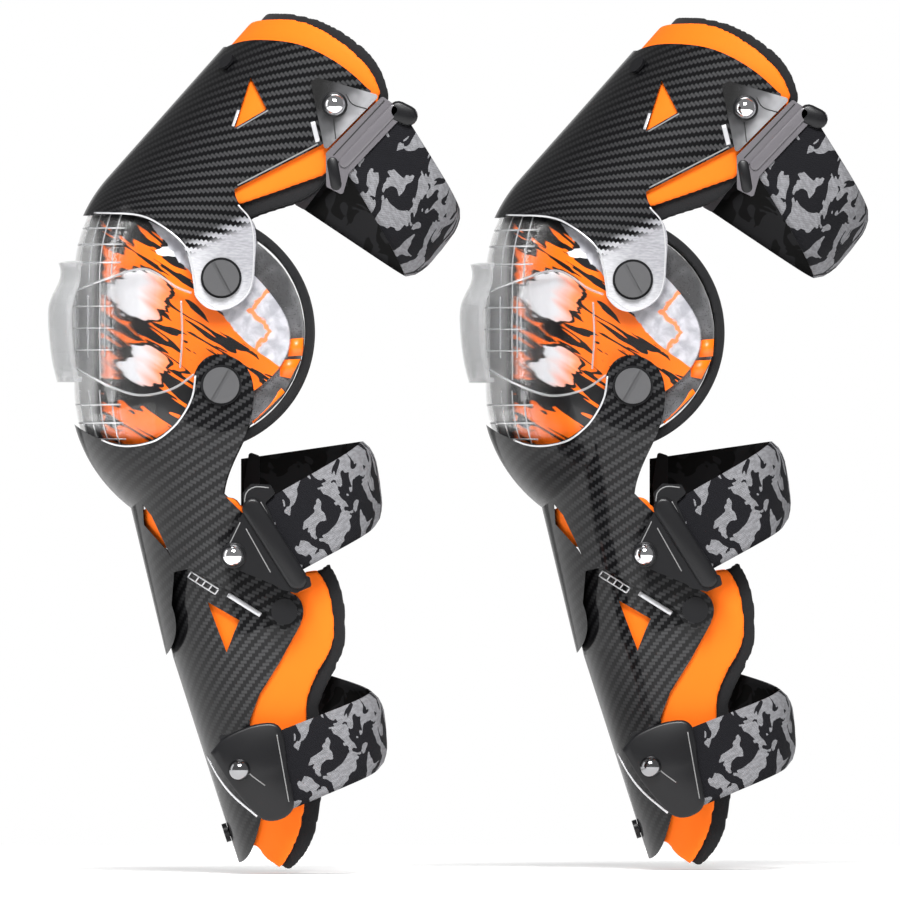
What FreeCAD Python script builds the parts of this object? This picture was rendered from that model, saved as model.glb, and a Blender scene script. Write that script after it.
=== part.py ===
"""A pair of hinged hard-shell knee guards, worn over the knee and the shin.

Frame: millimetres, X to the rear of the leg, Y across the leg, Z up.  The origin is in the middle
of the left guard's knee cup, half way between its two pivots.  The right guard is the same guard
moved by one step, as on the other leg.
"""
import FreeCAD, Part
import math
import os
import Sketcher
from FreeCAD import Vector

doc = FreeCAD.newDocument("knee_guards")
sheet = doc.addObject("Spreadsheet::Sheet", "dims")

DIMENSIONS = [
    ("pair_step_back", 226.6, "how far behind the left guard the right guard stands"),
    ("pair_step_across", 190.0, "distance between the middles of the two legs"),
    ("pivot_rise", 29.4, "height of each knee pivot above or below the middle of the cup"),
    ("flat_reach", 20.0, "radius round a pivot where the sides of the cup are flat"),
    ("shell_front", 79.0, "reach of the printed knee shell in front of the pivots"),
    ("shell_half", 69.0, "half width of the printed knee shell"),
    ("layer_wall", 2.2, "wall of the hard shells"),
    ("layer_gap", 0.3, "gap between the layers of the knee cup"),
    ("pad_wall", 8.0, "thickness of the knee pad"),
    ("thigh_front", 84.0, "reach of the thigh shell in front of the upper pivot"),
    ("thigh_half", 77.2, "half width of the thigh shell at the pivots"),
    ("foam_wall", 3.0, "thickness of the foam and of the lining"),
    ("screw_radius", 3.0, "shank of the pivot screws"),
    ("screw_head_radius", 9.9, "head of the pivot screws"),
    ("screw_head_height", 2.2, "height of the head of a pivot screw"),
    ("slot_width", 2.0, "driver slot of the pivot screws"),
    ("slot_depth", 1.2, "depth of the driver slot"),
    ("washer_radius", 11.2, "washer under the head of a pivot screw"),
    ("washer_height", 1.0, "height of that washer"),
    ("nut_radius", 7.0, "round nut inside the cup"),
    ("nut_height", 4.0, "height of the nut"),
    ("running_clearance", 0.06, "radial clearance of every pin in its hole"),
    ("rivet_radius", 2.5, "shank of the clip rivets"),
    ("rivet_ball_radius", 6.0, "ball head of the clip rivets"),
    ("clip_wall", 2.5, "thickness of the clip plates"),
    ("bar_wall", 5.0, "thickness of the clip bars"),
    ("corner_radius", 1.5, "rounding of the clip corners"),
    ("strap_width", 47.0, "width of the webbing"),
    ("strap_wall", 2.4, "thickness of the webbing"),
    ("thigh_clip_level", 79.9, "inner face of the thigh clip, from the middle of the leg"),
    ("shin_clip_level", 65.0, "inner face of the shin clip, from the middle of the leg"),
    ("ankle_clip_level", 53.8, "inner face of the ankle clip, from the middle of the leg"),
    ("pin_radius", 3.0, "shank of the pin between the two shin shells"),
    ("pin_head_radius", 7.2, "head of that pin"),
    ("pin_head_height", 3.0, "height of the head of that pin"),
    ("stud_radius", 5.0, "trim stud of the thigh shell"),
    ("snap_radius", 5.2, "snap button at the foot of the ankle shell"),
    ("snap_height", 2.6, "height of the snap button"),
    ("rim_inner_radius", 60.8, "inside of the black rim behind the knee pad"),
    ("rim_outer_radius", 66.0, "outside of that rim"),
    ("head_gap", 0.35, "gap between the shells and the washers, which lets the shells turn"),
    ("seat_gap", 0.05, "gap between the nuts and the printed shell"),
    ("washer_play", 0.01, "gap on each face of a washer"),
    ("rivet_room", 6.0, "radius of the opening in foam and lining round a rivet"),
    ("snap_room", 4.5, "radius of that opening round the snap button"),
    ("pin_room", 8.5, "radius of that opening round the pin between the shin shells"),
    ("pin_outer_face", 59.6, "seat of the pin's outer head, from the middle of the leg"),
    ("pin_inner_face", 50.6, "seat of the pin's inner head, from the middle of the leg"),
    ("thigh_rivet_seat", 74.0, "inner head of the thigh rivets, from the middle of the leg"),
    ("shin_rivet_seat", 57.0, "the same for the shin rivets"),
    ("ankle_rivet_seat", 45.0, "the same for the ankle rivets"),
    ("bumper_sweep", 58.0, "angle the clear bumper wraps round the cup, in degrees"),
]


def fill_sheet():
    for row, (alias, value, meaning) in enumerate(DIMENSIONS, start=1):
        sheet.set("A%d" % row, meaning)
        sheet.set("B%d" % row, str(value))
        sheet.setAlias("B%d" % row, alias)
    doc.recompute()


def dim(alias):
    return float(sheet.get(alias))


fill_sheet()

# Fixed places in the side view of the left guard, as (X, Z) pairs.
UPPER_PIVOT = (0.0, dim("pivot_rise"))
LOWER_PIVOT = (0.0, -dim("pivot_rise"))
ANKLE_PIVOT = (34.6, -153.5)
THIGH_RIVET = (62.2, 124.3)
SHIN_RIVET = (6.6, -122.7)
ANKLE_RIVET = (9.9, -240.4)
THIGH_ANGLE = 139.6      # direction, in degrees, that the front of the thigh shell faces
SHIN_ANGLE = 193.5       # the same for the upper shin shell
ANKLE_ANGLE = 197.8      # the same for the lower shin shell
RIM_CENTRE = (-15.0, 0.0)
SPAN = 120.0             # half length across the leg of every cutting prism
THIGH_DEPTH = 125.0      # how far back the filled shell bodies go, in front of any trimming
SHIN_DEPTH = 120.0
ANKLE_DEPTH = 130.0
OVERCUT = 1.0            # how much further a cutting body goes
STRAP_SEAT = 2.6         # middle of the webbing, outwards from the inner face of its clip
ACROSS = Vector(0, 1, 0)


# ---------------------------------------------------------------- shape helpers

def side_point(place, across=0.0):
    return Vector(place[0], across, place[1])


def facing(angle):
    """Unit vector in the side view at an angle in degrees."""
    return Vector(math.cos(math.radians(angle)), 0, math.sin(math.radians(angle)))


def outline(*pieces):
    """Closed wire in the side view: a pair is a corner, a list is a curve through its points."""
    edges = []
    last = None
    first = None
    for piece in pieces:
        points = [side_point(place) for place in (piece if isinstance(piece, list) else [piece])]
        if last is None:
            first = points[0]
        elif (points[0] - last).Length > 0.01:
            edges.append(Part.LineSegment(last, points[0]).toShape())
        if len(points) > 1:
            curve = Part.BSplineCurve()
            curve.interpolate(points)
            edges.append(curve.toShape())
        last = points[-1]
    edges.append(Part.LineSegment(last, first).toShape())
    return Part.Wire(edges)


def prism(wire):
    """The outline carried right across the guard."""
    face = Part.Face(wire)
    face.translate(Vector(0, -SPAN, 0))
    return face.extrude(Vector(0, 2 * SPAN, 0))


def disc(place, radius, half=SPAN):
    """Cylinder across the leg."""
    return Part.makeCylinder(radius, 2 * half, side_point(place, -half), ACROSS)


def d_section(front, angle, reach, half, depth, inset=0.0):
    """Closed D: half an ellipse in front, flat sides and a flat back."""
    forward = facing(angle)
    centre = side_point(front) - forward * reach
    back = side_point(front) - forward * depth
    side = Vector(0, half - inset, 0)
    tip = centre + forward * (reach - inset)
    if reach - inset < half - inset:
        arc = Part.ArcOfEllipse(Part.Ellipse(centre + side, tip, centre), 0, math.pi)
        start, end = centre + side, centre - side
    else:
        arc = Part.ArcOfEllipse(Part.Ellipse(tip, centre + side, centre), -math.pi / 2, math.pi / 2)
        start, end = centre - side, centre + side
    back_end = back + (end - centre)
    back_start = back + (start - centre)
    return Part.Wire([arc.toShape(), Part.LineSegment(end, back_end).toShape(),
                      Part.LineSegment(back_end, back_start).toShape(),
                      Part.LineSegment(back_start, start).toShape()])


def tube(sections, angle, depth, inset=0.0):
    """Filled body lofted through D sections given as (front place, reach, half width)."""
    wires = [d_section(front, angle, reach, half, depth, inset) for front, reach, half in sections]
    return Part.makeLoft(wires, True, True)


def dome(pivot, front, half):
    """Filled body of revolution about a pivot, flat near the pivot and rounded to the front."""
    reach = front - dim("flat_reach")
    start = (pivot[0] - front, pivot[1])
    face = Part.Face(d_section(start, 180.0, reach, half, front))
    return face.revolve(side_point(pivot), ACROSS, 360)


def cup(front, half):
    """Filled knee cup: a dome about each pivot and a straight stretch between them."""
    rise = dim("pivot_rise")
    reach = front - dim("flat_reach")
    bodies = []
    for pivot in (UPPER_PIVOT, LOWER_PIVOT):
        bodies.append(dome(pivot, front, half))
    for angle in (180.0, 0.0):
        start = (-front if angle else front, -rise)
        face = Part.Face(d_section(start, angle, reach, half, front))
        bodies.append(face.extrude(Vector(0, 0, 2 * rise)))
    return bodies[0].fuse(bodies[1:]).removeSplitter()


def both_sides(place, radius, inner, outer):
    """Two cylinders across the leg, from inner to outer distance from its middle."""
    length = outer - inner
    near = Part.makeCylinder(radius, length, side_point(place, -outer), ACROSS)
    far = Part.makeCylinder(radius, length, side_point(place, inner), ACROSS)
    return near.fuse(far)


def hole(place, radius):
    return disc(place, radius + dim("running_clearance"))


# ---------------------------------------------------------------- document helpers

nodes = []


def keep(name, item):
    """Makes a document object one of the left guard's nodes."""
    item.Label = "left_" + name
    nodes.append(item)
    return item


def shaped(name, shape):
    item = doc.addObject("Part::Feature", "left_" + name)
    item.Shape = shape
    return keep(name, item)


def grouped(name, members):
    item = doc.addObject("Part::Compound", "left_" + name)
    item.Links = members
    return keep(name, item)


def cylinder(name, radius, height, place, across):
    """Cylinder along the leg's width from the given distance outwards, sizes from the sheet."""
    item = doc.addObject("Part::Cylinder", name)
    item.setExpression("Radius", "dims." + radius)
    item.setExpression("Height", height)
    tilt = 90 if across < 0 else -90
    item.Placement = FreeCAD.Placement(side_point(place, across), FreeCAD.Rotation(Vector(1, 0, 0), tilt))
    return item


def plate(name, points, length, level):
    """Flat plate in the side view, padded from a sketch towards -Y; level is its face on the +Y side."""
    body = doc.addObject("PartDesign::Body", name)
    sketch = body.newObject("Sketcher::SketchObject", name + "_outline")
    plane = [item for item in body.Origin.OriginFeatures if item.Role == "XZ_Plane"][0]
    sketch.AttachmentSupport = [(plane, "")]
    sketch.MapMode = "FlatFace"
    count = len(points)
    for index, place in enumerate(points):
        after = points[(index + 1) % count]
        sketch.addGeometry(Part.LineSegment(Vector(*place, 0), Vector(*after, 0)), False)
    for index in range(count):
        sketch.addConstraint(Sketcher.Constraint("Coincident", index, 2, (index + 1) % count, 1))
    pad = body.newObject("PartDesign::Pad", name + "_pad")
    pad.Profile = sketch
    pad.setExpression("Length", "dims." + length)
    doc.recompute()
    upright = ["Edge%d" % (number + 1) for number, edge in enumerate(pad.Shape.Edges)
               if abs(edge.Vertexes[0].Y - edge.Vertexes[-1].Y) > 1]
    corners = body.newObject("PartDesign::Fillet", name + "_corners")
    corners.Base = (pad, upright)
    corners.setExpression("Radius", "dims.corner_radius")
    body.Placement.Base = Vector(0, level, 0)
    return body


# ---------------------------------------------------------------- knee cup

def knee_outline():
    """Side view of the printed shell: cut straight in front, a rounded lobe behind the pivots."""
    return outline((-110, 90), (-42, 90), (-22, 60),
                   [(-13, 54), (4, 42), (18.5, 30.4), (28.6, 18.7), (36.6, 4), (37.4, -6),
                    (29.5, -22.5), (18.5, -32), (4, -42), (-13, -54)],
                   (-22, -60), (-44, -86), (-110, -86))


def cup_layer(front, half, wall):
    return cup(front, half).cut(cup(front - wall, half - wall))


def make_knee():
    front = dim("shell_front")
    half = dim("shell_half")
    wall = dim("layer_wall")
    gap = dim("layer_gap")
    pin = dim("screw_radius")
    holes = hole(UPPER_PIVOT, pin).fuse(hole(LOWER_PIVOT, pin))

    shell = cup_layer(front, half, wall).common(prism(knee_outline()))
    shaped("knee_shell", shell.cut(holes))

    cap_front = front + gap + wall
    cap = cup_layer(cap_front, half + gap + wall, wall)
    cap_edge = outline((-110, 84), (-50, 84), (-36, 62), (-36, -62), (-52, -84), (-110, -84))
    shaped("knee_cap", cap.common(prism(cap_edge)))

    band = cup_layer(cap_front + gap + wall, half + 2 * (gap + wall), wall)
    band_edge = outline((-110, 23),
                        [(-82, 23), (-63.8, 29.7), (-41.8, 35.2), (-24.2, 25.3), (-16, 22)],
                        (-10, 38),
                        [(0, 42), (18.7, 33.5), (36.8, 12), (36.8, -12), (24.2, -28.6), (0, -42)],
                        (-12, -34),
                        [(-14.3, -24.2), (-27, -32.4), (-45.1, -35.7), (-63.8, -29.7), (-86, -17.6)],
                        (-110, -17.6))
    shaped("knee_band", band.common(prism(band_edge)).cut(holes))

    pad_front = front - wall - gap
    pad_half = half - wall - gap
    pad = cup_layer(pad_front, pad_half, dim("pad_wall"))
    nut_space = dim("nut_radius") + 2
    nut_room = disc(UPPER_PIVOT, nut_space).fuse(disc(LOWER_PIVOT, nut_space))
    pad_front_block = Part.makeBox(95, 2 * SPAN, 116, Vector(-110, -SPAN, -58))
    pad_edge = disc(RIM_CENTRE, dim("rim_inner_radius") - 0.2).fuse(pad_front_block)
    shaped("knee_pad", pad.common(pad_edge).cut(nut_room))

    rim_edge = disc(RIM_CENTRE, dim("rim_outer_radius")).cut(disc(RIM_CENTRE, dim("rim_inner_radius")))
    behind = Part.makeBox(90, 2 * SPAN, 160, Vector(4, -SPAN, -80))
    shaped("knee_rim", pad.common(rim_edge).common(behind))

    make_bumper()


def make_bumper():
    """Clear lens in front of the cup: one upright section turned round the leg."""
    lens = outline((-86, 39),
                   [(-90.2, 38), (-89.2, 30), (-94.6, 17.6), (-95.7, 3), (-93, -18.7), (-90.7, -27.5)],
                   (-86.2, -27.5), (-86.2, -24.8),
                   [(-89, -24.6), (-91, -12), (-92.6, 3), (-91.5, 17), (-87.4, 28), (-87.4, 35.6)],
                   (-86, 36))
    plan_centre = Vector(-10, 0, 0)
    half_sweep = dim("bumper_sweep") / 2
    lens_face = Part.Face(lens)
    lens_face.rotate(plan_centre, Vector(0, 0, 1), -half_sweep)
    shaped("knee_bumper", lens_face.revolve(plan_centre, Vector(0, 0, 1), 2 * half_sweep))


def slotted_screw(tag, place, side, head_face, nut_face, tilt):
    """Pivot screw with its head outside, its shank through the layers and a driver slot."""
    head = cylinder(tag + "_head", "screw_head_radius", "dims.screw_head_height", place, side * head_face)
    shank = cylinder(tag + "_shank", "screw_radius", "%f mm" % (head_face - nut_face), place,
                     side * nut_face)
    slot = doc.addObject("Part::Box", tag + "_slot")
    length = 2 * dim("screw_head_radius") + 2
    slot.Length = length
    slot.setExpression("Width", "dims.slot_depth + 1")
    slot.setExpression("Height", "dims.slot_width")
    outer = head_face + dim("screw_head_height")
    base = outer - dim("slot_depth") if side > 0 else -outer - 1
    turn = FreeCAD.Rotation(ACROSS, tilt)
    corner = turn.multVec(Vector(-length / 2, 0, -dim("slot_width") / 2))
    slot.Placement = FreeCAD.Placement(side_point(place, base) + corner, turn)
    body = doc.addObject("Part::MultiFuse", tag + "_body")
    body.Shapes = [head, shank]
    screw = doc.addObject("Part::Cut", tag + "_screw")
    screw.Base = body
    screw.Tool = slot
    return screw


def drilled_ring(tag, radius, height, ring_height, place, side, face, ring_face):
    """Ring on a pivot screw, with running clearance round the shank."""
    ring = cylinder(tag + "_blank", radius, ring_height, place, side * ring_face)
    bore = cylinder(tag + "_bore", "screw_radius", height, place, side * face)
    bore.setExpression("Radius", "dims.screw_radius + dims.running_clearance")
    item = doc.addObject("Part::Cut", tag)
    item.Base = ring
    item.Tool = bore
    return item


def make_pivots():
    screws, washers, nuts = [], [], []
    washer_face = dim("thigh_half") + dim("head_gap")
    head_face = washer_face + dim("washer_height")
    nut_face = dim("shell_half") - dim("layer_wall") - dim("nut_height") - dim("seat_gap")
    washer_height = "dims.washer_height - 2 * dims.washer_play"
    for place, label, tilt in ((UPPER_PIVOT, "upper", 62), (LOWER_PIVOT, "lower", -60)):
        for side, end in ((-1, "near"), (1, "far")):
            tag = "%s_%s" % (label, end)
            screws.append(slotted_screw(tag, place, side, head_face, nut_face, tilt))
            washers.append(drilled_ring(tag + "_washer", "washer_radius", "dims.washer_height", washer_height,
                                        place, side, washer_face, washer_face + dim("washer_play")))
            nuts.append(drilled_ring(tag + "_nut", "nut_radius", "dims.nut_height", "dims.nut_height",
                                     place, side, nut_face, nut_face))
    grouped("pivot_screws", screws)
    grouped("pivot_washers", washers)
    grouped("pivot_nuts", nuts)


# ---------------------------------------------------------------- thigh section

def thigh_sections():
    front = facing(THIGH_ANGLE)
    along = facing(THIGH_ANGLE - 90)
    low = side_point(UPPER_PIVOT) + front * dim("thigh_front")
    high = side_point(UPPER_PIVOT) + front * 81.0 + along * 150.0
    half = dim("thigh_half")
    return [((low.x, low.z), 64.0, half), ((high.x, high.z), 71.0, half + 3)]


def thigh_layer(inset, wall):
    sections = thigh_sections()
    room = tube(sections, THIGH_ANGLE, THIGH_DEPTH + OVERCUT, inset + wall)
    return tube(sections, THIGH_ANGLE, THIGH_DEPTH, inset).cut(room)


def thigh_shell_edge():
    return outline((-110, 64), (-74, 64),
                   [(-70, 64.5), (-46.8, 63.2), (-34, 57.8), (-20.9, 46.8), (-17, 36.3), (-14.5, 20)],
                   [(-14.5, 20), (0, 11.6), (15, 20.5), (18.6, 40), (17.2, 60), (9.9, 70), (7.2, 78)],
                   (55, 102.3), (79, 122), (82, 132),
                   [(79.2, 134.2), (68.8, 143.6), (55, 152.4), (41.2, 157.9), (27, 160), (11, 159.5),
                    (2.8, 156.8)],
                   (-30, 157))


def thigh_foam_edge():
    return outline((-42, 122), (4, 81), [(1.5, 76), (7.2, 69.8), (12.7, 70.4)],
                   (55.5, 85.3), (64, 92), (82, 112),
                   [(87.4, 131), (79, 147), (65, 159.5), (47.3, 169.4), (30, 172), (16, 170.5), (6, 168)],
                   (-40, 168))


def thigh_lining_edge():
    return outline((-42, 128), (3, 86), (8.2, 69.3), (14.3, 61),
                   [(14.3, 61), (27, 66.5), (41.2, 71), (57.2, 83.6)],
                   (68, 92), (88, 114),
                   [(91.8, 130), (89, 140.2), (82.5, 151.2), (72, 160.6), (57.8, 169.4), (46, 173.3),
                    (22, 175.4)],
                   (-40, 172))


def make_thigh():
    wall = dim("layer_wall")
    gap = dim("layer_gap")
    foam = dim("foam_wall")
    front = dim("thigh_front")
    half = dim("thigh_half")
    sections = thigh_sections()
    pin = dim("screw_radius")

    rivet_room = hole(THIGH_RIVET, dim("rivet_room"))

    full = tube(sections, THIGH_ANGLE, THIGH_DEPTH).fuse(dome(UPPER_PIVOT, front, half))
    room = tube(sections, THIGH_ANGLE, THIGH_DEPTH + OVERCUT, wall)
    room = room.fuse(dome(UPPER_PIVOT, front - wall, half - wall))
    window = outline((16, 139.7), (24.9, 122), (7.2, 111.7))
    shell = full.cut(room).common(prism(thigh_shell_edge())).cut(prism(window))
    stem_radius = dim("stud_radius") / 2
    stud_places = thigh_stud_places()
    for place, direction in stud_places:
        shell = shell.cut(Part.makeCylinder(stem_radius + 0.1, 20, place - direction * 10, direction))
    shell = shell.cut(hole(UPPER_PIVOT, pin)).cut(hole(THIGH_RIVET, dim("rivet_radius")))
    shaped("thigh_shell", shell)

    foam_shell = thigh_layer(wall + gap, foam).common(prism(thigh_foam_edge()))
    for place, direction in stud_places:
        stud_room = Part.makeCylinder(stem_radius + 1, 16, place - direction * 8, direction)
        foam_shell = foam_shell.cut(stud_room)
    shaped("thigh_foam", foam_shell.cut(rivet_room))

    lining = thigh_layer(wall + 2 * gap + foam, foam).common(prism(thigh_lining_edge()))
    shaped("thigh_lining", lining.cut(rivet_room))

    studs = []
    for place, direction in stud_places:
        stem = Part.makeCylinder(stem_radius, 6, place - direction * 3.5, direction)
        head = Part.makeCylinder(dim("stud_radius"), 1.6, place + direction * 0.9, direction)
        studs.append(stem.fuse(head))
    shaped("thigh_studs", studs[0].fuse(studs[1]))


def thigh_stud_places():
    """Centre and outward direction of the trim stud on each side of the front."""
    places = []
    for side in (-1, 1):
        direction = (facing(THIGH_ANGLE) * 0.86 + Vector(0, side * 0.51, 0)).normalize()
        places.append((Vector(3.6, side * 38.5, 147.6), direction))
    return places


# ---------------------------------------------------------------- upper and lower shin sections

def shin_sections():
    front = facing(SHIN_ANGLE)
    along = facing(SHIN_ANGLE + 90)
    stations = ((25.0, 50.0, dim("thigh_half")), (80.0, 48.0, 61.5), (150.0, 46.0, 58.0))
    sections = []
    for down, reach, half in stations:
        place = side_point(LOWER_PIVOT) + along * down + front * 64.5
        sections.append(((place.x, place.z), reach, half))
    return sections


def ankle_sections():
    return [((-36.5, -132.0), 45.0, 54.5), ((-27.0, -178.8), 43.0, 53.0), ((10.6, -296.0), 36.0, 43.0),
            ((16.3, -313.7), 35.0, 41.5)]


def shin_shell_edge():
    return outline((-110, -48),
                   [(-84, -48.4), (-58.9, -61), (-39.6, -60), (-28, -52.8), (-20.9, -44), (-16.5, -34.6),
                    (-15, -24)],
                   [(-15, -24), (0, -12.4), (14, -20), (17.8, -36.8), (15.4, -50.6), (8.8, -66), (1, -89)],
                   (12.1, -100), (22, -117), (31, -137),
                   [(38.5, -143.5), (44.4, -150), (43, -160), (35, -163.4), (28, -160)],
                   (23, -152), (4, -142), (-17, -129.8), (-26, -132),
                   [(-27.6, -150), (-27.2, -172), (-31, -178)],
                   (-70, -178))


def make_shin():
    wall = dim("layer_wall")
    gap = dim("layer_gap")
    foam = dim("foam_wall")
    front = dim("thigh_front")
    half = dim("thigh_half")
    sections = shin_sections()

    flange = dome(LOWER_PIVOT, front, half)
    full = tube(sections, SHIN_ANGLE, SHIN_DEPTH).fuse(flange)
    room = tube(sections, SHIN_ANGLE, SHIN_DEPTH + OVERCUT, wall)
    room = room.fuse(dome(LOWER_PIVOT, front - wall, half - wall))
    slot = outline((-43.4, -95), (-38.5, -101), (-27.6, -124), (-30.2, -120), (-42.8, -106))
    shell = full.cut(room).common(prism(shin_shell_edge())).cut(prism(slot))
    shell = shell.cut(hole(LOWER_PIVOT, dim("screw_radius"))).cut(hole(ANKLE_PIVOT, dim("pin_radius")))
    shaped("shin_shell", shell.cut(hole(SHIN_RIVET, dim("rivet_radius"))))

    inset = wall + gap
    foam_full = tube(sections, SHIN_ANGLE, SHIN_DEPTH, inset)
    foam_full = foam_full.cut(tube(sections, SHIN_ANGLE, SHIN_DEPTH + OVERCUT, inset + foam))
    foam_edge = outline((-80, -88), (-10, -86), (8, -92), (14, -99.5), (22, -113), (-14, -119), (-80, -119))
    foam_body = foam_full.common(prism(foam_edge)).cut(flange)
    shaped("shin_foam", foam_body.cut(hole(SHIN_RIVET, dim("rivet_room"))))


def ankle_layer(inset, wall):
    sections = ankle_sections()
    room = tube(sections, ANKLE_ANGLE, ANKLE_DEPTH + OVERCUT, inset + wall)
    return tube(sections, ANKLE_ANGLE, ANKLE_DEPTH, inset).cut(room)


def ankle_shell_edge():
    return outline((-70, -136), (-22, -124.5), (6, -139.5), (26, -152),
                   [(28, -148), (34.6, -144.6), (42, -149), (43.6, -156), (43.4, -160.6)],
                   (31.9, -181.5), (20.9, -199), (15.4, -213.4), (18.5, -240), (22, -266),
                   [(20.9, -270.6), (17.6, -281.6), (10.4, -291.5), (3, -290)],
                   (-40, -292))


def ankle_foam_edge():
    return outline((-70, -142), (-10, -142), (30, -136),
                   [(52.2, -130.3), (57, -137), (61.6, -156.8), (61.6, -168.8), (55, -183.7), (49, -196),
                    (46.7, -210)],
                   [(45.5, -250), (44.5, -268), (32.4, -294.8)],
                   (24, -289), (19, -282), (-40, -284))


def ankle_lining_edge():
    return outline((-70, -146), (-10, -146), (35, -140),
                   [(59.4, -127), (64, -137), (68.2, -160), (66.5, -176), (62, -186.4), (55, -200.8),
                    (53.9, -212.8)],
                   [(53.9, -240), (53.5, -266), (41.5, -292), (36.5, -296)],
                   (29, -290.5), (19, -279), (-40, -280))


def make_ankle():
    wall = dim("layer_wall")
    gap = dim("layer_gap")
    foam = dim("foam_wall")
    window = outline((-7.7, -148.3), (9.9, -158.4), (7.2, -164.4), (2.8, -176))
    snap_place, snap_way = ankle_snap_place()
    stem_radius = dim("snap_radius") / 2

    shell = ankle_layer(0, wall).common(prism(ankle_shell_edge())).cut(prism(window))
    shell = shell.cut(hole(ANKLE_PIVOT, dim("pin_radius"))).cut(hole(ANKLE_RIVET, dim("rivet_radius")))
    shell = shell.cut(Part.makeCylinder(stem_radius + 0.1, 16, snap_place - snap_way * 8, snap_way))
    shaped("ankle_shell", shell)

    room = hole(ANKLE_PIVOT, dim("pin_room")).fuse(hole(ANKLE_RIVET, dim("rivet_room")))
    room = room.fuse(Part.makeCylinder(dim("snap_room"), 24, snap_place - snap_way * 12, snap_way))
    foam_body = ankle_layer(wall + gap, foam).common(prism(ankle_foam_edge()))
    shaped("ankle_foam", foam_body.cut(room))
    lining = ankle_layer(wall + 2 * gap + foam, foam)
    shaped("ankle_lining", lining.common(prism(ankle_lining_edge())))

    outer_face = dim("pin_outer_face")
    inner_face = dim("pin_inner_face")
    head_radius = dim("pin_head_radius")
    shank = both_sides(ANKLE_PIVOT, dim("pin_radius"), inner_face, outer_face + 0.5)
    outer_head = both_sides(ANKLE_PIVOT, head_radius, outer_face, outer_face + dim("pin_head_height"))
    inner_head = both_sides(ANKLE_PIVOT, head_radius - 1, inner_face - 1.5, inner_face)
    shaped("ankle_pivots", shank.fuse([outer_head, inner_head]))

    stem = Part.makeCylinder(stem_radius, 6, snap_place - snap_way * 5, snap_way)
    button = Part.makeCylinder(dim("snap_radius"), dim("snap_height"), snap_place + snap_way * 0.2, snap_way)
    inner_cap = Part.makeCylinder(stem_radius + 1.2, 1.2, snap_place - snap_way * 5, snap_way)
    shaped("ankle_snap", stem.fuse([button, inner_cap]))


def ankle_snap_place():
    """Middle of the snap button on the front line of the ankle shell, and the way it faces."""
    low, high = ankle_sections()[2][0], ankle_sections()[1][0]
    share = 0.18
    place = Vector(low[0] + (high[0] - low[0]) * share, 0, low[1] + (high[1] - low[1]) * share)
    across = Vector(high[1] - low[1], 0, low[0] - high[0]).normalize()
    return place, across * (-1 if across.x > 0 else 1)


# ---------------------------------------------------------------- clips and straps

def make_rivets(name, place, level, inner):
    """Ball-headed rivet on each side: a shank through the shell and a ball outside the clip."""
    ball = dim("rivet_ball_radius")
    outer = level + dim("clip_wall")
    centre = outer + 2.2
    shank = both_sides(place, dim("rivet_radius"), inner, centre)
    cap = both_sides(place, ball - 1.5, inner - 1.2, inner)
    balls = []
    for side in (-1, 1):
        ball_body = Part.makeSphere(ball, side_point(place, side * centre))
        keep_box = Part.makeBox(4 * ball, 3 * ball, 4 * ball)
        start = side_point(place, outer + 0.15 if side > 0 else -outer - 0.15 - 3 * ball)
        keep_box.translate(start - Vector(2 * ball, 0, 2 * ball))
        balls.append(ball_body.common(keep_box))
    shaped(name, shank.fuse([cap] + balls))


def band(near, near_end, far, far_end, fold, fold_end, level, name):
    """Webbing loop: near and far ends, and the rearmost fold, each as its two edge places."""
    half_wall = dim("strap_wall") / 2
    steps = 16
    fullness = 0.62
    lines = []
    for step in range(steps + 1):
        turn = math.pi * step / steps
        back = math.sin(turn) ** fullness if 0 < step < steps else 0.0
        across = math.cos(turn)
        across = math.copysign(abs(across) ** fullness, across)
        upper_start, lower_start = (near, near_end) if turn <= math.pi / 2 else (far, far_end)
        upper = [upper_start[axis] + (fold[axis] - upper_start[axis]) * back for axis in (0, 1)]
        lower = [lower_start[axis] + (fold_end[axis] - lower_start[axis]) * back for axis in (0, 1)]
        lines.append((side_point(upper, -across * level), side_point(lower, -across * level)))
    wires = []
    for index, (upper, lower) in enumerate(lines):
        before = lines[max(index - 1, 0)]
        after = lines[min(index + 1, steps)]
        run = (after[0] + after[1]) - (before[0] + before[1])
        outward = (lower - upper).cross(run).normalize() * half_wall
        corners = [upper + outward, lower + outward, lower - outward, upper - outward]
        wires.append(Part.makePolygon(corners + corners[:1]))
    shaped(name, Part.makeLoft(wires, True, True))


def make_thigh_clip():
    level = dim("thigh_clip_level")
    wall = dim("clip_wall")
    near = [(49, 137), (53, 139.2), (87, 129.4), (56.8, 98.8)]
    far = [(52, 133), (72, 130), (66.5, 110), (38.6, 71.6), (33, 77)]
    near_plate = plate("thigh_clip_near", near, "clip_wall", -level)
    far_plate = plate("thigh_clip_far", far, "clip_wall", level + wall)
    drilled = [bored(item, THIGH_RIVET) for item in (near_plate, far_plate)]
    grouped("thigh_clip", drilled)
    near_bar = [(88.3, 129), (97.5, 122.6), (108, 121), (106, 115), (97, 115.4), (70, 86.8), (66.6, 74.8),
                (57.6, 79.4), (57.4, 97.8)]
    far_bar = [(67.2, 109.6), (73, 105.4), (45, 67.6), (39, 71)]
    bars = [plate("thigh_bar_near", near_bar, "bar_wall", -level),
            plate("thigh_bar_far", far_bar, "bar_wall", level + dim("bar_wall"))]
    grouped("thigh_clip_bars", bars)
    band((102.5, 116), (71.5, 83), (73.6, 105.2), (45.8, 67.2), (134.7, 64.4), (105, 27.5),
         level + STRAP_SEAT, "thigh_strap")
    make_rivets("thigh_clip_rivets", THIGH_RIVET, level, dim("thigh_rivet_seat"))


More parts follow.
